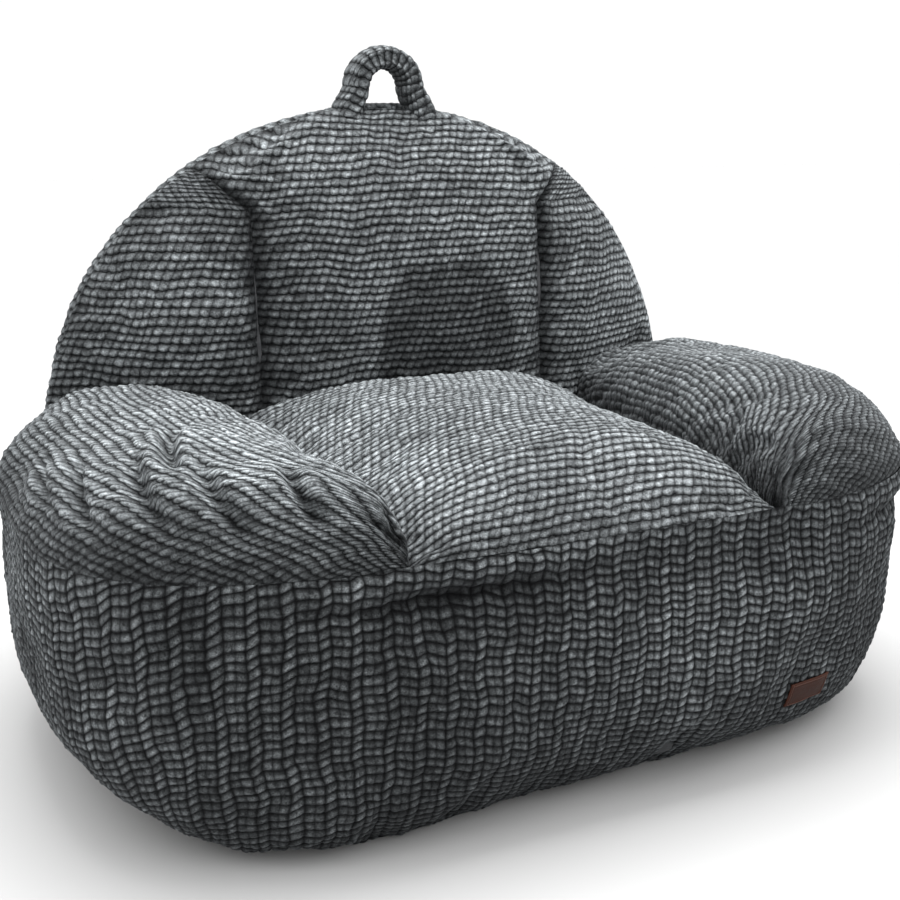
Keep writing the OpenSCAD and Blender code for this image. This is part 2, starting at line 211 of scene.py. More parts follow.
def inner_at(v):
    return stack(lerp(SEAM_INNER[0], SEAT_END[0], v), lerp(SEAM_INNER[1], SEAT_END[1], v))


def inner_z(v):
    return lerp(SEAM_H + 0.004, SEAT_REAR_H, v)


def arm_top(v):
    rise = (1 - (1 - clip01(v / 0.5)) ** 3) ** 0.5
    return SEAM_H + (ARM_H - SEAM_H - ARM_FALL * v**2) * rise


def arm_point(v, t):
    """A point on an arm, v from its front end to its rear, t from the outer to the inner seam."""
    o = outline(turn_at(v))
    side = inner_at(v) - o
    c = np.linalg.norm(side, axis=-1)
    side = side / c[..., None]
    e, s = np.where(t < 0.5, 2 / ARM_OUTER, 2 / ARM_INNER), np.sin(np.pi * t)
    bulge = np.where(t < 0.5, ARM_TUCK, ARM_BULGE) * clip01(c / 0.150) * s
    x = c / 2 - (c / 2 + bulge) * sgn_pow(np.cos(np.pi * t), e)
    low = lerp(SEAM_H, inner_z(v), t)
    p = o + side * x[..., None]
    return stack(p[..., 0], p[..., 1], low + (arm_top(v) - low) * np.maximum(s, 0) ** e)


def seat_point(u, v):
    """A point on the seat, u from -1 to 1 across, v from the front seam to the backrest."""
    side = inner_at(v)
    x = u * side[..., 0]
    bow = (1 - v) ** 4
    y = side[..., 1] + (front_y(u * GAP_FRONT) + 0.002 - SEAM_INNER[1]) * bow - 0.004 * v
    roll = np.sin(np.pi / 2 * clip01(v / 0.16)) ** 0.8
    crown = SEAT_CROWN * (1 - np.abs(u) ** 2.6) * roll * (1 - 0.35 * v**3)
    return stack(x, y, inner_z(v) + 0.014 * roll * (1 - np.abs(u) ** 6) + crown)


def back_half(z):
    q = np.clip(z / BACK_H, 0, 1)
    wide = BACK_END[0] * np.sqrt(1 - q**EDGE_POWER)
    return wide - FOOT_SIDE * rounded(z) - TAPER * np.maximum(0, 1 - z / SEAM_H)


def back_front(z):
    q = clip01((z - BACK_H + TOP_ROUND) / TOP_ROUND)
    leaning = FACE_Y + LEAN * np.maximum(0, z - PANEL_FOOT) / (BACK_H - PANEL_FOOT)
    return lerp(leaning, TOP_Y, 1 - np.sqrt(1 - q * q))


def back_edge(z):
    low = FACE_Y + REAR_SLOPE * (back_half(z) - CENTRE_HALF)
    high = lerp(BACK_END[1], TOP_Y, (z / BACK_H) ** 2)
    return lerp(low, high, clip01((z - SEAM_H) / 0.150))


def back_rear(z):
    q = clip01((z - SEAM_H) / (BACK_H - SEAM_H))
    reach = OVERALL_D / 2 - TOP_Y
    return TOP_Y + reach * (1 - q**REAR_POWER) ** (1 / REAR_POWER) - wall_in(
        np.minimum(z, SEAM_H), math.pi / 2
    )


def panel_half(z):
    flared = lerp(CENTRE_HALF, back_half(CAP_H), clip01((z - FLARE_H) / (CAP_H - FLARE_H)))
    return np.where(z < CAP_H, flared, back_half(z))


def face_point(x, z):
    """A point on the face of the backrest."""
    a = np.maximum(back_half(z), 1e-4)
    flat = np.minimum(CENTRE_HALF / a, 0.78)
    q = clip01(np.abs(x) / a)
    t = np.maximum(0, (q - flat) / (1 - flat))
    fade = clip01((FLARE_H - z) / 0.120) * clip01((z - ARM_H + 0.014) / 0.080)
    crown = np.where(t > 0, WING_CROWN * 4 * t * (1 - t), FACE_CROWN * (1 - (q / flat) ** 4))
    return stack(x, lerp(back_front(z), back_edge(z), ease_in(t)) - crown * fade, z)


def ease_in(t):
    """Straight, with a short smooth start, so that the wing leaves the centre without a kink."""
    return np.where(t < 0.12, t * t / 0.24, t - 0.06) / 0.94


def rear_point(q, z):
    """A point on the rear, q from -1 to 1 across."""
    e = back_edge(z)
    bulge = np.maximum(0, 1 - np.abs(q) ** 3) ** 0.54
    return stack(back_half(z) * q, e + (back_rear(z) - e) * bulge, z)


# ---- soft shaping ----


def puff(name, x, pressure, slack, cap, sign=1, frames=20, coarse=0.013):
    """Cloth simulation of a panel on a coarse copy of its grid, with the panel's edges sewn down.

    The cloth is cut a little larger than the panel, so that it billows and wrinkles. Returns how
    far each point of the fine grid moves, at most by cap.
    """
    count = [
        max(8, int(np.linalg.norm(np.diff(np.take(x, x.shape[1 - k] // 2, axis=1 - k), axis=0),
                                  axis=1).sum() / coarse))
        for k in (0, 1)
    ]
    rough = resample(resample(x, count[0], 0), count[1], 1)
    obj = mesh_from_grid(name + "_cloth", rough, flip=sign < 0)
    pins = obj.vertex_groups.new(name="pins")
    edge = np.zeros(rough.shape[:2], bool)
    edge[[0, -1], :] = True
    edge[:, [0, -1]] = True
    pins.add([int(i) for i in np.flatnonzero(edge)], 1.0, "REPLACE")
    cloth = obj.modifiers.new("cloth", "CLOTH")
    cloth.settings.vertex_group_mass = "pins"
    cloth.settings.quality = 6
    cloth.settings.mass = 0.25
    cloth.settings.tension_stiffness = 18
    cloth.settings.compression_stiffness = 12
    cloth.settings.shear_stiffness = 6
    cloth.settings.bending_stiffness = 0.35
    cloth.settings.shrink_min = -slack
    cloth.settings.use_pressure = True
    cloth.settings.uniform_pressure_force = pressure
    cloth.settings.effector_weights.gravity = 0
    cloth.collision_settings.use_collision = False
    cloth.point_cache.frame_start, cloth.point_cache.frame_end = 1, frames
    for f in range(1, frames + 1):
        scene.frame_set(f)
    shaped = obj.evaluated_get(bpy.context.evaluated_depsgraph_get()).data
    co = np.empty(rough.size)
    shaped.vertices.foreach_get("co", co)
    move = co.reshape(rough.shape) - rough
    bpy.data.objects.remove(obj)
    scene.frame_set(1)
    far = np.linalg.norm(move, axis=-1, keepdims=True)
    move *= cap * np.tanh(far / cap) / np.maximum(far, 1e-9)
    return resample(resample(move, x.shape[0], 0), x.shape[1], 1)


def near_segment(x, a, b):
    """Distance from each point to the segment from a to b, and the place along it, 0 to 1."""
    d = b - a
    t = clip01(((x - a) @ d) / (d @ d))
    return np.linalg.norm(x - a - t[..., None] * d, axis=-1), t


def crease(x, a, b, width, depth, soft=0.35):
    """A fold in the cloth along a segment: a narrow valley that fades out at both ends."""
    far, t = near_segment(x, np.asarray(a), np.asarray(b))
    fade = ease(t / soft) * ease((1 - t) / soft)
    return -depth * fade * np.exp(-((far / width) ** 2))


ROW_PITCH, ROW_LEAN = (0.0104, 0.0094), -0.35
COLUMN_PITCH, NARROW = (0.0270, 0.0092), 0.38  # a pair of columns, and the narrow one's share
SLANT, ARCH = 0.4, 0.14  # how far, in rows, a row climbs in a narrow column and a lump arches


def lump_profile(f):
    """Section of one lump from its sharp lower edge, at 0, to where the next one covers it."""
    return (1 - np.exp(-f / 0.12)) * (1 - 0.6 * f**2.2)


def rows_relief(u, v):
    """Lumps in rows, as on the backrest, the seat and the arms."""
    row = np.floor(v / ROW_PITCH[1])
    across = u / ROW_PITCH[0] + row * 0.618
    fu = across - np.floor(across)
    rv = v / ROW_PITCH[1] - ARCH * (2 * fu - 1) ** 2
    row2 = np.floor(rv)
    fv = rv - row2
    across = u / ROW_PITCH[0] + row2 * 0.618 + ROW_LEAN * (fv - 0.5)
    fu = across - np.floor(across)
    side = 1 - np.abs(2 * fu - 1) ** 2.6
    return lump_profile(fv) * (0.62 + 0.38 * side)


def columns_relief(u, v):
    """Rows that cross wide flat columns and narrow raised ones, as on the front and the sides."""
    f = u / COLUMN_PITCH[0] - np.floor(u / COLUMN_PITCH[0])
    narrow = np.maximum(0, 1 - np.abs(f * 2 / NARROW - 1) ** 3)
    w = (f - NARROW) * 2 / (1 - NARROW)
    split = 1 - 0.55 * np.abs(2 * (w - np.floor(w)) - 1) ** 3
    wide = np.maximum(0, 1 - np.abs(w - 1) ** 6) * split
    rv = v / COLUMN_PITCH[1] - SLANT * np.minimum(f / NARROW, (1 - f) / (1 - NARROW))
    return lump_profile(rv - np.floor(rv)) * (0.35 + 0.60 * narrow + 0.52 * wide)


def mesh_from_grid(name, x, uv=None, flip=False):
    n, m = x.shape[:2]
    i, j = grid(range(n - 1), range(m - 1))
    a = (i * m + j).astype(np.int64).ravel()
    quads = np.stack([a, a + m, a + m + 1, a + 1], 1)
    if flip:
        quads = quads[:, ::-1]
    mesh = bpy.data.meshes.new(name)
    mesh.vertices.add(n * m)
    mesh.vertices.foreach_set("co", x.astype(np.float32).ravel())
    mesh.loops.add(quads.size)
    mesh.loops.foreach_set("vertex_index", quads.astype(np.int32).ravel())
    mesh.polygons.add(len(quads))
    mesh.polygons.foreach_set("loop_start", np.arange(0, quads.size, 4, dtype=np.int32))
    mesh.update(calc_edges=True)
    mesh.shade_smooth()
    if uv is not None:
        layer = mesh.uv_layers.new(name="fabric")
        layer.data.foreach_set("uv", uv.reshape(-1, 2)[quads.ravel()].astype(np.float32).ravel())
    obj = bpy.data.objects.new(name, mesh)
    scene.collection.objects.link(obj)
    return obj


def add_value(obj, name, values):
    attribute = obj.data.attributes.new(name, "FLOAT", "POINT")
    attribute.data.foreach_set("value", values.astype(np.float32).ravel())


def arc(x, axis, start=0):
    """Arc length along one axis of a grid, measured from the given line of it."""
    step = np.linalg.norm(np.diff(x, axis=axis), axis=-1)
    zero = np.zeros_like(np.take(step, [0], axis=axis))
    along = np.concatenate([zero, np.cumsum(step, axis=axis)], axis=axis)
    return along - np.take(along, [start], axis=axis)


DOWN, BACK = np.array([0, 0, -1.0]), np.array([0, 1.0, 0])


def sink(distance, depth=SEAM_SINK, reach=SEAM_REACH, way=DOWN):
    """How a panel dives near a seam. Both its panels dive the same way, so the seam stays shut."""
    return (depth * np.exp(-((distance / reach) ** 1.3)))[..., None] * way


def turn_of(x):
    return np.arctan2(x[..., 1], x[..., 0])


def level_in(x):
    """Level direction into the body at each point."""
    flat = inward(turn_of(x))
    return stack(flat[..., 0], flat[..., 1], 0)


def edge_distance(x):
    return np.minimum(np.minimum(arc(x, 0), -arc(x, 0, -1)), np.minimum(arc(x, 1), -arc(x, 1, -1)))


def wander(u, v, seed, amount=0.0024):
    """Fabric coordinates with the small unevenness of a knit."""
    u = u + noise(u, v, 0.090, seed + 11) * 0.0040
    v = v + noise(u, v, 0.070, seed + 12) * 0.0030
    du = noise(u, v, 0.030, seed) * amount + noise(u, v, 0.011, seed + 1) * amount * 0.6
    dv = noise(u, v, 0.034, seed + 2) * amount + noise(u, v, 0.012, seed + 3) * amount * 0.45
    return u + du, v + dv


def cover_piece(name, x, u, v, kind, brightness_and_painted_light, sign, seed, dive, pull=0.0, flat_share=0.0, cuts=()):
    """Adds the relief of the knit to a panel and makes its piece, or its pieces where it is cut.

    dive moves the surface along its normal, pull is a displacement for the seams, and the
    brightness
    factor scales the colour of the pile: random variation, and painted light and painted shade.
    """
    wu, wv = wander(u, v, seed)
    relief = columns_relief(wu, wv) if kind == "columns" else rows_relief(wu, wv)
    lumps = 1 + 0.30 * noise(u, v, 0.012, seed + 5) + 0.16 * noise(u, v, 0.0045, seed + 8)
    height = RELIEF * (relief * lumps - 0.55) * (1 - flat_share) * ease(edge_distance(x) / 0.005)
    x = x + normals(x, sign) * (height + dive)[..., None] + pull
    x[..., 2] = np.maximum(x[..., 2], 0.0004)
    uv = stack(wu, wv)
    pieces = []
    edges = [0, *cuts, len(x) - 1]
    for k, (a, b) in enumerate(zip(edges, edges[1:])):
        part = name if not cuts else f"{name}_{('left', 'front', 'right')[k]}"
        piece = mesh_from_grid(part, x[a:b + 1], uv[a:b + 1], flip=sign < 0)
        add_value(piece, "brightness_and_painted_light", np.broadcast_to(brightness_and_painted_light, x.shape[:2])[a:b + 1])
        piece.data.materials.append(PLUSH[kind])
        pieces.append(piece)
    return pieces


def ride(piece, node):
    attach(piece, "root")
    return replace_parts(piece, node)


# ---- materials ----


class Node:
    """A value in a node tree, with arithmetic that adds Math nodes."""

    def __init__(self, tree, socket):
        self.tree, self.socket = tree, socket

    def math(self, kind, *others):
        node = self.tree.nodes.new("ShaderNodeMath")
        node.operation = kind
        for slot, value in zip(node.inputs, (self, *others)):
            if isinstance(value, Node):
                self.tree.links.new(value.socket, slot)
            else:
                slot.default_value = value
        return Node(self.tree, node.outputs[0])

    def __add__(self, other):
        return self.math("ADD", other)

    def __sub__(self, other):
        return self.math("SUBTRACT", other)

    def __mul__(self, other):
        return self.math("MULTIPLY", other)

    def __rsub__(self, other):
        return (self * -1.0) + other

    def __truediv__(self, other):
        return self.math("DIVIDE", other)

    def __pow__(self, other):
        return self.math("POWER", other)

    __radd__, __rmul__ = __add__, __mul__

    def floor(self):
        return self.math("FLOOR")

    def fract(self):
        return self.math("FRACT")

    def abs(self):
        return self.math("ABSOLUTE")

    def exp(self):
        return self.math("EXPONENT")


def new_material(name):
    material = bpy.data.materials.new(name)
    material.use_nodes = True
    tree = material.node_tree
    return material, tree, tree.nodes["Principled BSDF"]


def add_node(tree, kind, links=(), **values):
    """A node with properties or inputs set by name, linked from (input, output) pairs."""
    node = tree.nodes.new(kind)
    for key, value in values.items():
        if hasattr(node, key):
            setattr(node, key, value)
        else:
            node.inputs[key.replace("_", " ")].default_value = value
    for slot, source in links:
        tree.links.new(source.socket if isinstance(source, Node) else source, node.inputs[slot])
    return node


def noise_value(tree, coords, scale, detail=2.0, rough=0.5):
    node = add_node(tree, "ShaderNodeTexNoise", [("Vector", coords)], Scale=scale, Detail=detail,
                    Roughness=rough)
    return Node(tree, node.outputs["Fac"])


def bump(tree, shader, height, strength, distance, below=None):
    node = add_node(tree, "ShaderNodeBump", [("Height", height)], Strength=strength,
                    Distance=distance)
    if below is not None:
        tree.links.new(below, node.inputs["Normal"])
    tree.links.new(node.outputs[0], shader.inputs["Normal"])
    return node.outputs[0]


def plush_material(kind):
    """Charcoal chenille: lumps of pile with painted shade in the gaps between them, in phase with
    the relief of the mesh.
    """
    material, tree, shader = new_material("plush_" + kind)
    uv = add_node(tree, "ShaderNodeUVMap", uv_map="fabric").outputs[0]
    parts = add_node(tree, "ShaderNodeSeparateXYZ", [(0, uv)])
    u, v = Node(tree, parts.outputs[0]), Node(tree, parts.outputs[1])
    if kind == "columns":
        pair = (u / COLUMN_PITCH[0]).floor()
        f = u / COLUMN_PITCH[0] - pair
        narrow = (1.0 - (f * (2 / NARROW) - 1.0).abs() ** 3.0).math("MAXIMUM", 0.0)
        w = (f - NARROW) * (2 / (1 - NARROW))
        split = 1.0 - ((w.fract() * 2.0 - 1.0).abs() ** 3.0) * 0.55
        wide = (1.0 - (w - 1.0).abs() ** 6.0).math("MAXIMUM", 0.0) * split
        slant = (f / NARROW).math("MINIMUM", (1.0 - f) / (1 - NARROW))
        rv = v / COLUMN_PITCH[1] - slant * SLANT
        cell = rv.floor()
        fv = rv - cell
        col = pair * 3.0 + w.floor().math("MAXIMUM", -1.0)
        gaps = narrow * 0.52 + wide * 0.46 + 0.38
    else:
        row = (v / ROW_PITCH[1]).floor()
        fu = (u / ROW_PITCH[0] + row * 0.618).fract()
        rv = v / ROW_PITCH[1] - ((fu * 2.0 - 1.0).abs() ** 2.0) * ARCH
        cell = rv.floor()
        fv = rv - cell
        across = u / ROW_PITCH[0] + cell * 0.618 + (fv - 0.5) * ROW_LEAN
        col = across.floor()
        fu = across - col
        gaps = (1.0 - (fu * 2.0 - 1.0).abs() ** 2.6) * 0.42 + 0.58
    lump = (1.0 - (fv * (-1 / 0.12)).exp()) * (1.0 - (fv ** 2.2) * 0.6)
    height = lump * gaps
    cell_at = add_node(tree, "ShaderNodeCombineXYZ", [(0, col), (1, cell)])
    tint = add_node(tree, "ShaderNodeTexWhiteNoise", [("Vector", cell_at.outputs[0])],
                    noise_dimensions="2D")
    each = Node(tree, tint.outputs["Value"])
    place = add_node(tree, "ShaderNodeTexCoord").outputs["Object"]
    fibres = noise_value(tree, place, 900.0, 3.0, 0.7)
    tufts = noise_value(tree, place, 260.0, 2.0, 0.6)
    cloud = noise_value(tree, place, 9.0, 3.0, 0.55)
    # Per-point brightness of the panels, which holds their painted light and painted shade.
    brightness_and_painted_light = Node(tree, add_node(tree, "ShaderNodeAttribute", attribute_name="brightness_and_painted_light").outputs["Fac"])
    sharp, gain = (3.2, 2.30) if kind == "columns" else (2.4, 1.25)
    # Painted shade: the lower the pile, the darker it is, nearly black in the gaps between lumps.
    depth = height**sharp * gain + 0.006
    fur = (fibres * 3.4 - 0.70).math("MAXIMUM", 0.1) * (tufts * 2.8 - 0.40).math("MAXIMUM", 0.15)
    pile_brightness_with_painted_light = depth * (each * 0.70 + 0.65) * fur * (cloud * 1.2 + 0.40) * brightness_and_painted_light
    ramp = add_node(tree, "ShaderNodeMix", [("Factor", pile_brightness_with_painted_light * 0.5)], data_type="RGBA")
    ramp.inputs["A"].default_value = (*PLUSH_DARK, 1)
    ramp.inputs["B"].default_value = (*PLUSH_LIGHT, 1)
    tree.links.new(ramp.outputs["Result"], shader.inputs["Base Color"])
    shader.inputs["Roughness"].default_value = 0.92
    shader.inputs["Specular IOR Level"].default_value = 0.10
    shader.inputs["Sheen Weight"].default_value = 0.06
    shader.inputs["Sheen Roughness"].default_value = 0.40
    shader.inputs["Sheen Tint"].default_value = (0.80, 0.84, 0.90, 1)
    first = bump(tree, shader, height + tufts * 0.35, 0.8, 0.0022)
    bump(tree, shader, fibres, 0.7, 0.0009, first)
    return material


PLUSH_DARK = (0.0008, 0.0009, 0.0011)
PLUSH_LIGHT = (0.390, 0.420, 0.436)
PLUSH = {kind: plush_material(kind) for kind in ("rows", "columns")}


def woven_material(name, dark, light, pitch):
    """A plain woven cloth with its threads in object space."""
    material, tree, shader = new_material(name)
    place = add_node(tree, "ShaderNodeTexCoord").outputs["Object"]
    parts = add_node(tree, "ShaderNodeSeparateXYZ", [(0, place)])
    x, y, z = (Node(tree, parts.outputs[k]) for k in range(3))
    warp = ((x + y * 0.7) * (2 * math.pi / pitch)).math("SINE")
    weft = ((z + y * 0.7) * (2 * math.pi / pitch)).math("SINE")
    threads = (warp * weft) * 0.5 + 0.5
    worn = noise_value(tree, place, 35.0, 4.0, 0.6)
    mix = add_node(tree, "ShaderNodeMix", [("Factor", threads * 0.6 + worn * 0.4)],
                   data_type="RGBA")
    mix.inputs["A"].default_value = (*dark, 1)
    mix.inputs["B"].default_value = (*light, 1)
    tree.links.new(mix.outputs["Result"], shader.inputs["Base Color"])
    shader.inputs["Roughness"].default_value = 0.85
    bump(tree, shader, threads, 0.5, 0.0004)
    return material


def leather_material():
    """Dark red-brown leather with pores, creases and lighter worn edges."""
    material, tree, shader = new_material("label_leather")
    place = add_node(tree, "ShaderNodeTexCoord").outputs["Object"]
    pores = add_node(tree, "ShaderNodeTexVoronoi", [("Vector", place)], Scale=900.0,
                     feature="DISTANCE_TO_EDGE")
    grain = Node(tree, pores.outputs["Distance"])
    mottle = noise_value(tree, place, 120.0, 4.0, 0.6)
    wear = Node(tree, add_node(tree, "ShaderNodeAttribute", attribute_name="wear").outputs["Fac"])
    mix = add_node(tree, "ShaderNodeMix", [("Factor", mottle * 0.7 + wear * 0.6 - 0.1)],
                   data_type="RGBA")
    mix.inputs["A"].default_value = (0.014, 0.0034, 0.0016, 1)
    mix.inputs["B"].default_value = (0.055, 0.015, 0.0065, 1)
    tree.links.new(mix.outputs["Result"], shader.inputs["Base Color"])
    shader.inputs["Specular IOR Level"].default_value = 0.18
    rough = mottle * 0.25 + 0.50
    tree.links.new(rough.socket, shader.inputs["Roughness"])
    bump(tree, shader, grain * 3.0 + mottle, 0.4, 0.0004)
    return material


def metal_material():
    """Plated zipper metal with fine scratches along the chain."""
    material, tree, shader = new_material("zip_metal")
    place = add_node(tree, "ShaderNodeTexCoord").outputs["Object"]
    drawn = add_node(tree, "ShaderNodeMapping", [("Vector", place)])
    drawn.inputs["Scale"].default_value = (60.0, 900.0, 900.0)
    scratch = noise_value(tree, drawn.outputs[0], 1.0, 4.0, 0.6)
    mix = add_node(tree, "ShaderNodeMix", [("Factor", scratch)], data_type="RGBA")
    mix.inputs["A"].default_value = (0.20, 0.20, 0.21, 1)
    mix.inputs["B"].default_value = (0.50, 0.51, 0.53, 1)
    tree.links.new(mix.outputs["Result"], shader.inputs["Base Color"])
    shader.inputs["Metallic"].default_value = 1.0
    rough = scratch * 0.3 + 0.22
    tree.links.new(rough.socket, shader.inputs["Roughness"])
    bump(tree, shader, scratch, 0.2, 0.0001)
    return material


def foam_material():
    """Lining bag with the crumbs of foam showing through as soft lumps."""
    material, tree, shader = new_material("foam_bag")
    place = add_node(tree, "ShaderNodeTexCoord").outputs["Object"]
    crumbs = add_node(tree, "ShaderNodeTexVoronoi", [("Vector", place)], Scale=70.0)
    lump = Node(tree, crumbs.outputs["Distance"])
    weave = noise_value(tree, place, 700.0, 2.0, 0.6)
    mix = add_node(tree, "ShaderNodeMix", [("Factor", lump * 0.6 + weave * 0.5)],
                   data_type="RGBA")
    mix.inputs["A"].default_value = (0.020, 0.021, 0.023, 1)
    mix.inputs["B"].default_value = (0.058, 0.060, 0.064, 1)
    tree.links.new(mix.outputs["Result"], shader.inputs["Base Color"])
    shader.inputs["Roughness"].default_value = 0.9
    bump(tree, shader, lump, 0.6, 0.003)
    return material


# ---- the cover ----

def band_seam(a):
    """Depth of the seam along the top of the band in direction a."""
    return 0.0008 + 0.0040 * hump(a, -2.25, 0.25) + 0.0040 * hump(a, -0.75, 0.25)


def band_path(t):
    a = lerp(-math.pi - ARM_TURN, ARM_TURN, t)
    return wall_point(a, np.full_like(a, 0.150))


def wall_section(t):
    z = SEAM_H * (1 - np.cos(np.pi / 2 * t))
    return wall_point(np.zeros_like(z), z)


def make_band():
    """The band that goes round the front and the sides, under the seat and the arms."""
    t = even(band_path, BAND_SPACING)
    s = even(wall_section, BAND_SPACING)
    turn = lerp(-math.pi - ARM_TURN, ARM_TURN, t)
    a, rise = grid(turn, SEAM_H * (1 - np.cos(np.pi / 2 * s)))
    front_share = ease((np.abs(a + math.pi / 2) - math.radians(31)) / math.radians(-6) + 0.5)
    z = rise + 0.004 * front_share * rise / SEAM_H
    x = wall_point(a, z)
    mid = x.shape[0] // 2
    u = np.broadcast_to(arc(x[:, [60]], 0, mid), x.shape[:2])
    v = arc(x, 1)
    from_top = v[:, -1:] - v
    from_end = np.minimum(arc(x, 0), -arc(x, 0, -1))
    low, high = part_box("label_patch")
    spot = np.array([low.x + high.x, low.y + high.y, low.z + high.z]) / 2
    free = ease((np.linalg.norm(x - spot, axis=-1) - 0.036) / 0.05)  # flat under the label
    x = x + puff("band", x, 2.2, 0.012, 0.014) * (free * ease(from_top / 0.10))[..., None]
    back_seam = stack(np.sign(x[..., 0]) * back_half(z), back_edge(z), z)
    x = lerp(x, back_seam, ease(1 - from_end / 0.05)[..., None])
    soft = noise(u, v, 0.130, 11) * 0.0050 + noise(u, v, 0.055, 12) * 0.0022
    gather = np.exp(-from_top / 0.060) * noise(u, v * 0.25, 0.030, 13) * 0.0030
    dive = soft * ease(from_top / 0.05) * ease(v / 0.05) + gather * ease(from_top / 0.02)
    roll, fold = hump(from_top, 0.010, 0.012), hump(from_top, 0.032, 0.008)
    corner = hump(a, -1.98, 0.27) + 0.6 * hump(a, -0.62, 0.24)
    dive = (dive + corner * (0.004 * roll - 0.009 * fold)) * free
    pull = sink(from_top, band_seam(turn_of(x)), BAND_REACH, level_in(x))
    pull = pull + sink(from_end, 0.001, BAND_REACH, level_in(x))
    streak = noise(u, v * 0.22, 0.030, 14) * 0.20 + noise(u, v, 0.10, 15) * 0.25
    # Painted light: a bright spot on the front, a lit strip along the top edge of the front, and a
    # lighter left side.
    light = 0.9 * hump(u, 0.13, 0.10) * hump(v, 0.21, 0.07)
    light = light + 0.7 * ease(1 - from_top / 0.03) * hump(a, -1.60, 0.40)
    side_light = 0.3 * ease((-u - 0.30) / 0.25)
    # Painted shade: darker towards the floor and towards the right; painted light on the roll under
    # each front corner, with painted shade in the crease below it.
    brightness_and_painted_light = 0.40 * (1 + streak + light + side_light) * lerp(0.55, 1, ease(v / 0.16))
    brightness_and_painted_light = brightness_and_painted_light * (1 + corner * (0.7 * roll - 0.65 * fold)) * lerp(1, 0.7, ease((u - 0.25) / 0.2))
    cuts = [int(len(x) * 0.36), int(len(x) * 0.64)]
    pieces = cover_piece("band_cover", x, u, v, "columns", brightness_and_painted_light, 1, 21, dive, pull, cuts=cuts)
    for piece in pieces:
        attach(piece, "root")
    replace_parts(pieces[1], "front_band")
    return pieces


def make_seat():
    v = even(lambda t: seat_point(np.zeros_like(t), t), PANEL_SPACING)
    u = even(lambda t: seat_point(2 * t - 1, np.full_like(t, 0.4)), PANEL_SPACING)
    gu, gv = grid(2 * u - 1, v)
    x = seat_point(gu, gv)
    x[..., 1] -= 0.0022 * ease(1 - gv / 0.05)
    x = x + puff("seat", x, 2.0, 0.012, 0.012)
    mid = x.shape[0] // 2
    su, sv = arc(x, 0, mid), np.broadcast_to(arc(x[[mid]], 1), x.shape[:2])
    from_side = np.minimum(arc(x, 0), -arc(x, 0, -1))
    from_front = arc(x, 1)
    soft = noise(su, sv, 0.120, 31) * 0.0030 + noise(su, sv, 0.050, 32) * 0.0014
    dive = soft * ease(from_side / 0.04) * ease(from_front / 0.03)
    pull = sink(from_side) + sink(from_front, band_seam(turn_of(x)), BAND_REACH, level_in(x))
    # Painted shade: darker near the arms and along the front seam; the noise is random variation of
    # the pile.
    patch = noise(su, sv, 0.15, 33) * 0.20 - 0.35 * ease((0.08 - from_side) / 0.08)
    brightness_and_painted_light = (1 + patch) * lerp(0.55, 1, ease(from_front / 0.06))
    piece, = cover_piece("seat_cover", x, su, sv, "rows", brightness_and_painted_light, 1, 41, dive, pull)
    return [ride(piece, "seat_panel")]


ARM_SHEET = np.array([0.50, 0.36])  # an arm's panel laid flat, front to back and across

# Folds pulled into the front of the left arm, each from (v, t) to (v, t).
ARM_FOLDS = (
    ((0.17, 0.10), (0.33, 0.42)), ((0.25, 0.10), (0.43, 0.38)), ((0.10, 0.16), (0.22, 0.50)),
    ((0.34, 0.08), (0.55, 0.33)), ((0.30, 0.30), (0.47, 0.52)), ((0.46, 0.12), (0.66, 0.26)),
)


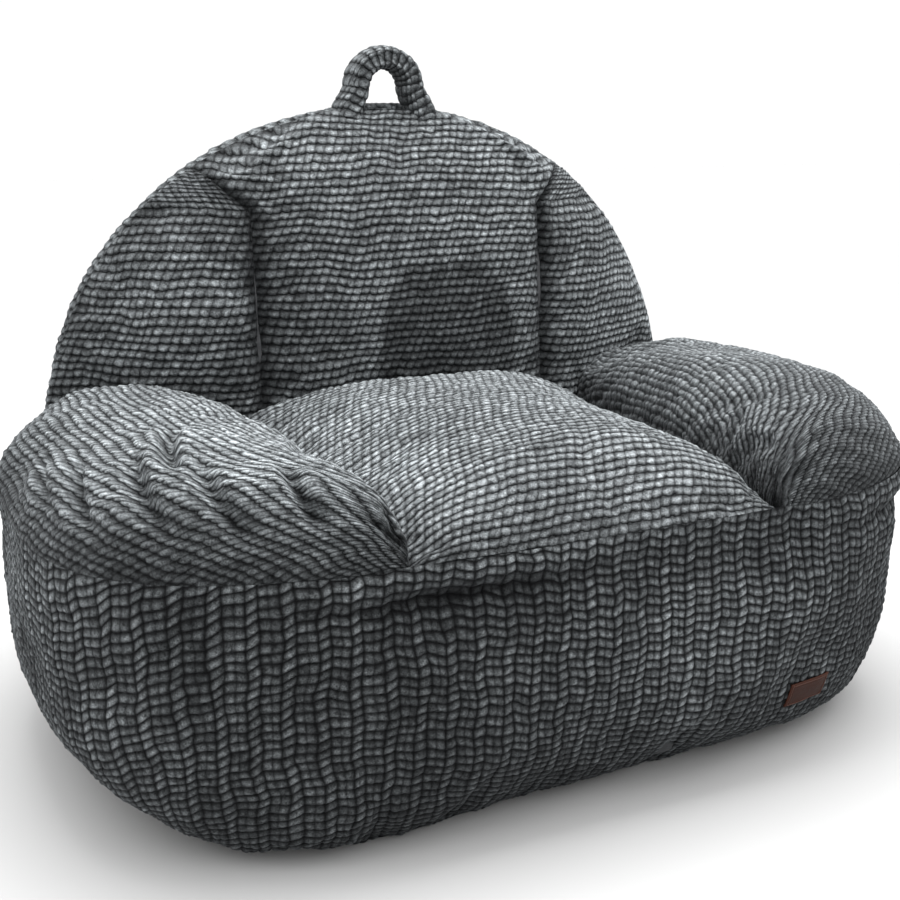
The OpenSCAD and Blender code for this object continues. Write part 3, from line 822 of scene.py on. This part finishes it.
def make_arm(side):
    """One arm panel; side is -1 on the left and 1 on the right."""
    v = even(lambda t: arm_point(t, np.full_like(t, 0.45)), ARM_SPACING)
    t = even(lambda t: arm_point(np.full_like(t, 0.6), t), ARM_SPACING)
    gv, gt = grid(v, t)
    x = arm_point(gv, gt) * np.array([side, 1, 1])
    name = "arm_panel_right" if side > 0 else "arm_panel_left"
    x = x + puff(name, x, 2.4, 0.03, 0.018, side) * lerp(0.1, 1, ease(gt / 0.5))[..., None]
    x[..., 2] += ARM_DOME * np.sin(np.pi * gt) * np.sin(np.pi * clip01(gv * 1.05)) ** 0.7
    share = np.linspace(0, 1, 50)[1:, None, None]  # rows that close the arm's rear end
    closing = lerp(x[-1], x[-1].mean(axis=0), share) + 0.012 * ease(share * 3) * BACK
    x = np.concatenate([x, closing])
    su, sv = -arc(x, 0, -1), arc(x, 1, x.shape[1] // 2)
    from_inner, from_outer = -arc(x, 1, -1), arc(x, 1)
    from_side = np.minimum(from_inner, from_outer)
    seed = 50 + side
    soft = noise(su, sv, 0.110, seed) * 0.0050 + noise(su, sv, 0.045, seed + 3) * 0.0022
    gather = np.exp(-from_outer / 0.070) * noise(su, sv * 0.3, 0.030, seed + 6) * 0.0050
    dive = (soft + gather) * ease(from_side / 0.04)
    pull = sink(from_inner) + sink(from_outer, band_seam(turn_of(x)), BAND_REACH, level_in(x))
    folds = np.zeros(x.shape[:2])
    if side < 0:
        for start, end in np.array(ARM_FOLDS) * ARM_SHEET:
            valley = crease(stack(gv, gt) * ARM_SHEET, start, end, 0.008, 0.020)
            swell = crease(stack(gv, gt) * ARM_SHEET, start, end, 0.026, 0.012)
            folds[:len(gv)] += valley - swell
    # Painted shade: darker along the inner seam by the seat, over the whole right arm, low on the
    # outer side, and in the valleys of the folds; the noise is random variation of the pile.
    patch = noise(su, sv, 0.16, seed + 9) * 0.22 - 0.45 * ease((0.06 - from_inner) / 0.06)
    pile_brightness_with_painted_light = 0.95 if side < 0 else 0.62
    brightness_and_painted_light = pile_brightness_with_painted_light * (1 + patch) * lerp(0.36, 1, ease((x[..., 2] - SEAM_H) / 0.085))
    brightness_and_painted_light = brightness_and_painted_light * np.exp(np.minimum(0, folds) * 90)
    piece, = cover_piece(name.replace("panel", "cover"), x, su, sv, "rows", brightness_and_painted_light, side, seed + 12,
                         dive + folds, pull)
    return [ride(piece, name)]


def face_rows(low, high, spacing):
    """Heights that are evenly spaced along the middle of the face, over the rounded top as well."""
    def at(t):
        z = low + (high - low) * (1 - (1 - t) ** 2)
        return face_point(np.zeros_like(z), z)
    t = even(at, spacing)
    return low + (high - low) * (1 - (1 - t) ** 2)


def brushed_patch(x, z):
    """Share of the dark patch, where the pile of the centre panel is brushed the other way."""
    middle, top, shoulder, corner = 0.043, 0.488, 0.405, 0.100
    half = lerp(0.105, 0.078, clip01((z - 0.33) / 0.16))
    sides = ease((half - np.abs(x - middle)) / 0.010) * ease((top - z) / 0.014)
    return sides * ease((corner - np.hypot(x - middle, np.maximum(0, z - shoulder))) / 0.02)


def make_centre():
    z = face_rows(PANEL_FOOT - 0.006, BACK_H - 1e-6, PANEL_SPACING)
    count = int(2 * CENTRE_HALF / PANEL_SPACING)
    gz, gu = grid(z, np.linspace(-1, 1, count))
    x = face_point(gu * panel_half(gz), gz)
    x = x + puff("centre", x, 2.2, 0.015, 0.012, -1)
    mid = x.shape[1] // 2
    su, sv = arc(x, 1, mid), np.broadcast_to(arc(x[:, [mid]], 0), x.shape[:2])
    from_side = np.minimum(arc(x, 1), -arc(x, 1, -1))
    from_top = -arc(x, 0, -1)
    soft = noise(su, sv, 0.120, 71) * 0.0030 + noise(su, sv, 0.050, 72) * 0.0012
    dive = soft * ease(from_side / 0.04) * ease(from_top / 0.03)
    pull = sink(from_side, face_seam(gz), FACE_REACH, BACK)
    brightness_and_painted_light = 1 + 0.16 * noise(su, sv, 0.14, 73) + 0.20 * su / CENTRE_HALF
    brightness_and_painted_light = brightness_and_painted_light * (1 - 0.62 * brushed_patch(su, x[..., 2]))
    # Painted shade: darker in the seams beside the wings, and low down towards the seat.
    brightness_and_painted_light = 0.75 * brightness_and_painted_light * lerp(0.3, 1, ease(from_side / 0.022))
    brightness_and_painted_light = brightness_and_painted_light * lerp(0.75, 1, ease((x[..., 2] - 0.33) / 0.1))
    piece, = cover_piece("centre_cover", x, su, sv, "rows", brightness_and_painted_light, -1, 81, dive, pull)
    return [ride(piece, "back_centre_panel")]


def face_seam(z):
    """Depth of the seams between the centre and the wings, deep up to the cap."""
    return 0.0010 + 0.0150 * ease((CAP_H - 0.006 - z) / 0.03)


def make_wing(side):
    z = face_rows(PANEL_FOOT - 0.006, CAP_H - 1e-6, PANEL_SPACING)
    count = int((back_half(0.4) - CENTRE_HALF) * 1.1 / PANEL_SPACING)
    gz, gt = grid(z, np.linspace(0, 1, count))
    x = face_point(lerp(panel_half(gz), back_half(gz), gt), gz) * np.array([side, 1, 1])
    name = "back_wing_right" if side > 0 else "back_wing_left"
    x = x + puff(name, x, 2.2, 0.02, 0.012, -side)
    su, sv = arc(x, 1), np.broadcast_to(arc(x[:, [0]], 0), x.shape[:2])
    from_side = np.minimum(su, -arc(x, 1, -1))
    seed = 90 + side
    soft = noise(su, sv, 0.100, seed) * 0.0035 + noise(su, sv, 0.045, seed + 3) * 0.0014
    dive = soft * ease(from_side / 0.04)
    pull = sink(su, face_seam(gz), FACE_REACH, BACK) + sink(-arc(x, 1, -1), 0.001, FACE_REACH, BACK)
    # Painted shade: darker in the seam beside the centre panel.
    brightness_and_painted_light = (1 + noise(su, sv, 0.12, seed + 6) * 0.22) * lerp(0.3, 1, ease(su / 0.022))
    if side < 0:
        light = ease((0.11 - np.hypot(su - 0.11, (x[..., 2] - 0.445) * 1.2)) / 0.03)
        brightness_and_painted_light = brightness_and_painted_light * (0.46 + 0.24 * light)
    else:
        # Painted shade under the overhanging edge of the centre panel, on the right wing.
        brightness_and_painted_light = brightness_and_painted_light * lerp(0.6, 0.95, ease(su / 0.12))
    piece, = cover_piece(name.replace("back_wing", "wing_cover"), x, side * su, sv, "rows", brightness_and_painted_light,
                         -side, seed + 12, dive, pull)
    return [ride(piece, name)]


def zip_gap(x):
    return 0.0006 + 0.0144 * clip01((ZIP_LEN / 2 + 0.044 - np.abs(x)) / 0.022)


def make_rear():
    """The two rear panels, above and below the zipper."""
    q = even(lambda t: rear_point(2 * t - 1, np.full_like(t, 0.3)), REAR_SPACING) * 2 - 1
    seam = zip_gap(q * back_half(ZIP_H))

    def low_at(t):
        z = (ZIP_H - 0.015) * t
        return rear_point(np.zeros_like(z), z)

    def high_at(t):
        z = lerp(ZIP_H, BACK_H - 1e-6, 1 - (1 - t) ** 2)
        return rear_point(np.zeros_like(z), z)

    made = []
    low_t, high_t = even(low_at, 0.0020), 1 - (1 - even(high_at, REAR_SPACING)) ** 2
    for name, t, side in (("rear_lower_panel", low_t, -1), ("rear_upper_panel", high_t, 1)):
        gq, gt = grid(q, t)
        line = (ZIP_H + side * seam)[:, None]
        z = line * gt if side < 0 else lerp(line, BACK_H - 1e-6, gt)
        x = rear_point(gq, z)
        x = x + puff(name, x, 1.6, 0.010, 0.010, -1)
        mid = x.shape[0] // 2
        su, sv = arc(x, 0, mid), np.broadcast_to(arc(x[[mid]], 1), x.shape[:2])
        from_side = np.minimum(arc(x, 0), -arc(x, 0, -1))
        from_zip = -arc(x, 1, -1) if side < 0 else arc(x, 1)
        seed = 110 + side
        soft = noise(su, sv, 0.140, seed) * 0.0040 + noise(su, sv, 0.060, seed + 3) * 0.0016
        far = ease(from_zip / 0.03) * ease(edge_distance(x) / 0.05)
        pull = sink(from_zip, 0.004, 0.006, -BACK)
        pull = pull + sink(from_side, 0.001, 0.010, BACK if side > 0 else level_in(x))
        kind = "columns" if side < 0 else "rows"
        brightness_and_painted_light = 1 + noise(su, sv, 0.18, seed + 6) * 0.15
        # Painted shade: the lower panel darker towards the floor.
        brightness_and_painted_light = brightness_and_painted_light * (0.42 * lerp(0.6, 1, ease(sv / 0.16)) if side < 0 else 0.62)
        piece, = cover_piece(name.replace("panel", "cover"), x, su, sv, kind, brightness_and_painted_light, -1, seed + 12,
                             soft * far, pull)
        made.append(ride(piece, name))
    return made


# ---- handle ----


def make_handle():
    """The padded carry loop: a stuffed tube of the same plush, sewn down at both ends."""
    arch_half, foot_half = 0.034, (HANDLE_W - BAND_T) / 2
    arch_z = BACK_H + HANDLE_RISE - arch_half - BAND_T / 2
    foot_z = BACK_H - 0.010
    leg = math.hypot(foot_half - arch_half, arch_z - foot_z)
    total = 2 * leg + math.pi * arch_half
    s = np.linspace(0, total, int(total / 0.0012))
    turn = clip01((s - leg) / (math.pi * arch_half)) * math.pi
    cx, cz = -arch_half * np.cos(turn), arch_z + arch_half * np.sin(turn)
    for inside, sign in ((s < leg, -1), (s > total - leg, 1)):
        k = (leg - s if sign < 0 else s - total + leg)[inside] / leg
        cx[inside] = sign * lerp(arch_half, foot_half, ease(k) * 0.4 + k * 0.6)
        cz[inside] = lerp(arch_z, foot_z, k)
    centre = np.stack([cx, np.full_like(cx, TOP_Y), cz], 1)
    along = np.gradient(centre, axis=0)
    along /= np.linalg.norm(along, axis=1, keepdims=True)
    across = np.array([0.0, 1.0, 0.0])
    outward = np.cross(across, along)
    ring = np.linspace(0, 2 * math.pi, 97)
    gs, ga = grid(s, ring)
    from_foot = np.minimum(gs, total - gs)
    thick = BAND_T / 2 * lerp(1.2, 1.0, ease(from_foot / 0.045))
    wide = BAND_W / 2 * lerp(1.10, 1.0, ease(from_foot / 0.03))
    c, sn = np.cos(ga), np.sin(ga)
    x = centre[:, None] + outward[:, None] * (thick * sgn_pow(c, 0.55))[..., None]
    x = x + across * (wide * sgn_pow(sn, 0.65))[..., None]
    u, v = gs, ga / (2 * math.pi) * 0.120
    soft = noise(u, v, 0.020, 131) * 0.0010
    pull = -0.0022 * np.exp(-((np.abs(sn) - 1) / 0.05) ** 2) * ease(from_foot / 0.01)
    brightness_and_painted_light = 0.62 * (1 + 0.12 * noise(u, v, 0.05, 132))
    piece, = cover_piece("handle_cover", x, v, u, "rows", brightness_and_painted_light, -1, 141, soft + pull,
                         flat_share=0.35)
    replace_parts(piece, "handle_loop")
    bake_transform(piece)
    return piece


# ---- label ----


def make_label():
    """A leather label with a pressed border, sewn to the band near the right front corner."""
    low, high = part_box("label_patch")
    turns = np.linspace(0, 1, 2000)
    wall = wall_point(turn_at(turns), np.full_like(turns, (low.z + high.z) / 2))
    inside = turns[(wall[:, 0] > low.x + 0.002) & (wall[:, 0] < high.x - 0.002) & (wall[:, 1] < 0)]
    half_t = 0.0016
    gv, gz = grid(np.linspace(inside[0], inside[-1], 140), np.linspace(low.z, high.z, 84))
    x = wall_point(turn_at(gv), gz)
    out = normals(x)
    across, up = arc(x, 0), arc(x, 1)
    edge = np.minimum(np.minimum(across, across[-1:] - across), np.minimum(up, up[:, -1:] - up))
    pressed = -0.0006 * np.exp(-(((edge - 0.0036) / 0.0006) ** 2))
    rim = -0.0012 * np.exp(-edge / 0.0009)
    lift = 0.0036 + pressed + rim + noise(across, up, 0.020, 151) * 0.0006
    top = x + out * lift[..., None]
    piece = mesh_from_grid("label", top, stack(across, up))
    add_value(piece, "wear", np.exp(-edge / 0.0015) + 0.4 * hump(edge, 0.0036, 0.001))
    piece.data.materials.append(leather_material())
    solid = piece.modifiers.new("thickness", "SOLIDIFY")
    solid.thickness, solid.offset = 2 * half_t, -1
    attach(piece, "root")
    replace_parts(piece, "label_patch")
    return make_stitches(top, out, edge)


def make_stitches(top, out, edge):
    """A line of thread stitches just inside the label's border."""
    n, m = edge.shape
    inset_i, inset_j = 7, 7
    loop = ([(i, inset_j) for i in range(inset_i, n - inset_i)]
            + [(n - inset_i, j) for j in range(inset_j, m - inset_j)]
            + [(i, m - inset_j) for i in range(n - inset_i, inset_i, -1)]
            + [(inset_i, j) for j in range(m - inset_j, inset_j, -1)])
    points = np.array([top[i, j] + out[i, j] * 0.0002 for i, j in loop])
    step = np.linalg.norm(np.roll(points, -1, 0) - points, axis=1)
    along = np.concatenate([[0], np.cumsum(step)[:-1]])
    curve = bpy.data.curves.new("label_stitches", "CURVE")
    curve.dimensions = "3D"
    curve.bevel_depth, curve.bevel_resolution = 0.00035, 2
    stitch, pitch = 0.0021, 0.0030
    for k in range(int(along[-1] / pitch)):
        at = k * pitch + np.linspace(0, stitch, 4)
        spots = np.stack([np.interp(at, along, points[:, c]) for c in range(3)], 1)
        spline = curve.splines.new("POLY")
        spline.points.add(3)
        spline.points.foreach_set("co", np.column_stack([spots, np.ones(4)]).ravel())
    obj = bpy.data.objects.new("label_stitches", curve)
    scene.collection.objects.link(obj)
    curve.materials.append(
        woven_material("thread", (0.05, 0.022, 0.018), (0.16, 0.08, 0.06), 0.0006)
    )
    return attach(obj, "root")


# ---- filling, lining and zipper ----


def make_bag(node, material):
    """A stuffed inner bag in the place of one foam chamber."""
    bag = bpy.data.objects.new(node + "_bag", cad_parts[node].data.copy())
    scene.collection.objects.link(bag)
    remesh = bag.modifiers.new("even", "REMESH")
    remesh.mode, remesh.voxel_size = "VOXEL", 0.012
    smooth = bag.modifiers.new("smooth", "SMOOTH")
    smooth.iterations, smooth.factor = 8, 0.5
    graph = bpy.context.evaluated_depsgraph_get()
    shaped = bpy.data.meshes.new_from_object(bag.evaluated_get(graph))
    bag.modifiers.clear()
    bag.data = shaped
    co = np.empty(len(shaped.vertices) * 3)
    n = np.empty_like(co)
    shaped.vertices.foreach_get("co", co)
    shaped.vertices.foreach_get("normal", n)
    co, n = co.reshape(-1, 3), n.reshape(-1, 3)
    lumps = noise(co[:, 0] + co[:, 2], co[:, 1] - co[:, 2], 0.035, 160) - 1
    co = co + n * (0.0025 * lumps)[:, None]
    turn = turn_of(co)
    wall = wall_point(turn, np.clip(co[:, 2], 0, SEAM_H))
    room = (np.linalg.norm(wall[:, :2], axis=1) - 0.016) / np.linalg.norm(co[:, :2], axis=1)
    walled = (np.sin(turn) < math.sin(ARM_TURN)) & (co[:, 2] < SEAM_H)
    co[:, :2] *= np.where(walled, np.minimum(1, room), 1)[:, None]
    shaped.vertices.foreach_set("co", co.astype(np.float32).ravel())
    shaped.update()
    shaped.shade_smooth()
    shaped.materials.clear()
    shaped.materials.append(material)
    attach(bag, "root")
    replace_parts(bag, node)
    return bag


def make_base():
    """The flat base cloth, cut to the foot of the walls."""
    angles = np.linspace(-math.pi - ARM_TURN, ARM_TURN, 260)
    front = wall_point(angles, np.zeros_like(angles))
    rear = rear_point(np.linspace(0.99, -0.99, 160), np.zeros(160))
    rim = np.concatenate([front, rear]) * np.array([1, 1, 0])
    share = np.linspace(0.02, 1, 60)
    x = rim[:, None] * np.array([1, 1, 0]) * share[None, :, None]
    x[..., 2] = 0.0006 + 0.0006 * noise(x[..., 0], x[..., 1], 0.05, 170)
    x = np.concatenate([x, x[:1]])
    base = mesh_from_grid("base_cover", x, flip=True)
    base.data.materials.append(woven_material("base_cloth", (0.010, 0.011, 0.012),
                                              (0.034, 0.035, 0.038), 0.0030))
    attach(base, "root")
    return [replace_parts(base, "base_panel")]


def finish_nodes():
    """Materials for the CAD nodes that show as they are."""
    lining = woven_material("lining_cloth", (0.014, 0.015, 0.017), (0.040, 0.042, 0.046), 0.0016)
    tape = woven_material("zip_tape", (0.006, 0.006, 0.007), (0.030, 0.030, 0.033), 0.0010)
    teeth, tree, shader = new_material("zip_teeth")
    place = add_node(tree, "ShaderNodeTexCoord").outputs["Object"]
    worn = noise_value(tree, place, 400.0, 3.0)
    mix = add_node(tree, "ShaderNodeMix", [("Factor", worn)], data_type="RGBA")
    mix.inputs["A"].default_value = (0.008, 0.008, 0.009, 1)
    mix.inputs["B"].default_value = (0.050, 0.050, 0.054, 1)
    tree.links.new(mix.outputs["Result"], shader.inputs["Base Color"])
    shader.inputs["Roughness"].default_value = 0.35
    metal = metal_material()
    finishes = {
        "arm_divider_left": lining, "arm_divider_right": lining, "back_divider": lining,
        "zipper_tape_upper": tape, "zipper_tape_lower": tape, "zipper_teeth": teeth,
        "zipper_stops": metal, "zipper_slider": metal, "zipper_pull": metal,
    }
    for node, material in finishes.items():
        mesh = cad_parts[node].data
        mesh.materials.clear()
        mesh.materials.append(material)


# ---- stage ----


def make_stage():
    floor_mesh = bpy.data.meshes.new("floor")
    r = 12.0
    floor_mesh.from_pydata([(-r, -r, 0), (r, -r, 0), (r, r, 0), (-r, r, 0)], [], [(0, 1, 2, 3)])
    floor = bpy.data.objects.new("floor", floor_mesh)
    floor.location.z = -0.0005
    scene.collection.objects.link(floor)
    paint, _, shader = new_material("floor_paint")
    shader.inputs["Base Color"].default_value = (0.42, 0.42, 0.42, 1)
    shader.inputs["Roughness"].default_value = 0.9
    shader.inputs["Specular IOR Level"].default_value = 0.0
    floor_mesh.materials.append(paint)


def add_light(name, place, target, size, power):
    light = bpy.data.lights.new(name, "AREA")
    light.shape, light.size, light.size_y, light.energy = "RECTANGLE", *size, power
    obj = bpy.data.objects.new(name, light)
    obj.location = place
    aim = np.array(target, float) - np.array(place, float)
    obj.rotation_mode = "QUATERNION"
    obj.rotation_quaternion = Vector(aim).to_track_quat("-Z", "Y")
    obj.visible_camera = False
    scene.collection.objects.link(obj)


def make_lights():
    """A white studio: a bright ceiling, plain white at the horizon, and a soft overhead box."""
    world = bpy.data.worlds.new("studio")
    world.use_nodes = True
    tree = world.node_tree
    place = add_node(tree, "ShaderNodeTexCoord").outputs["Generated"]
    parts = add_node(tree, "ShaderNodeSeparateXYZ", [(0, place)])
    height = add_node(tree, "ShaderNodeMapRange", [("Value", parts.outputs[2])],
                      interpolation_type="SMOOTHSTEP")
    for key, value in (("From Min", 0.20), ("From Max", 0.95), ("To Min", 1.03), ("To Max", 3.2)):
        height.inputs[key].default_value = value
    tree.links.new(height.outputs["Result"], tree.nodes["Background"].inputs["Strength"])
    tree.nodes["Background"].inputs["Color"].default_value = (1.0, 1.0, 1.0, 1)
    scene.world = world
    scene.view_settings.view_transform = "Standard"
    add_light("overhead", (0.0, -0.05, 1.55), (0, 0.0, 0), (1.3, 0.9), 30)


def make_camera():
    camera = bpy.data.cameras.new("camera")
    camera.sensor_width, camera.lens = 36.0, 50.0
    camera.clip_start, camera.clip_end = 0.05, 50.0
    obj = bpy.data.objects.new("camera", camera)
    turn, rise, distance = math.radians(-25), math.radians(15.1), 1.440
    level = math.cos(rise)
    back = np.array([math.sin(turn) * level, -math.cos(turn) * level, math.sin(rise)])
    target = np.array([0.012, 0.017, 0.276])
    obj.location = Vector(target + back * distance)
    obj.rotation_mode = "QUATERNION"
    obj.rotation_quaternion = Vector(-back).to_track_quat("-Z", "Y")
    scene.collection.objects.link(obj)
    scene.camera = obj


make_camera()
make_lights()
make_stage()
covers = make_band() + make_seat() + make_arm(-1) + make_arm(1) + make_centre()
covers += make_wing(-1) + make_wing(1) + make_rear() + make_base()
make_handle()
make_label()
foam = foam_material()
for chamber in ("seat_fill", "arm_fill_left", "arm_fill_right", "back_fill"):
    make_bag(chamber, foam)
finish_nodes()
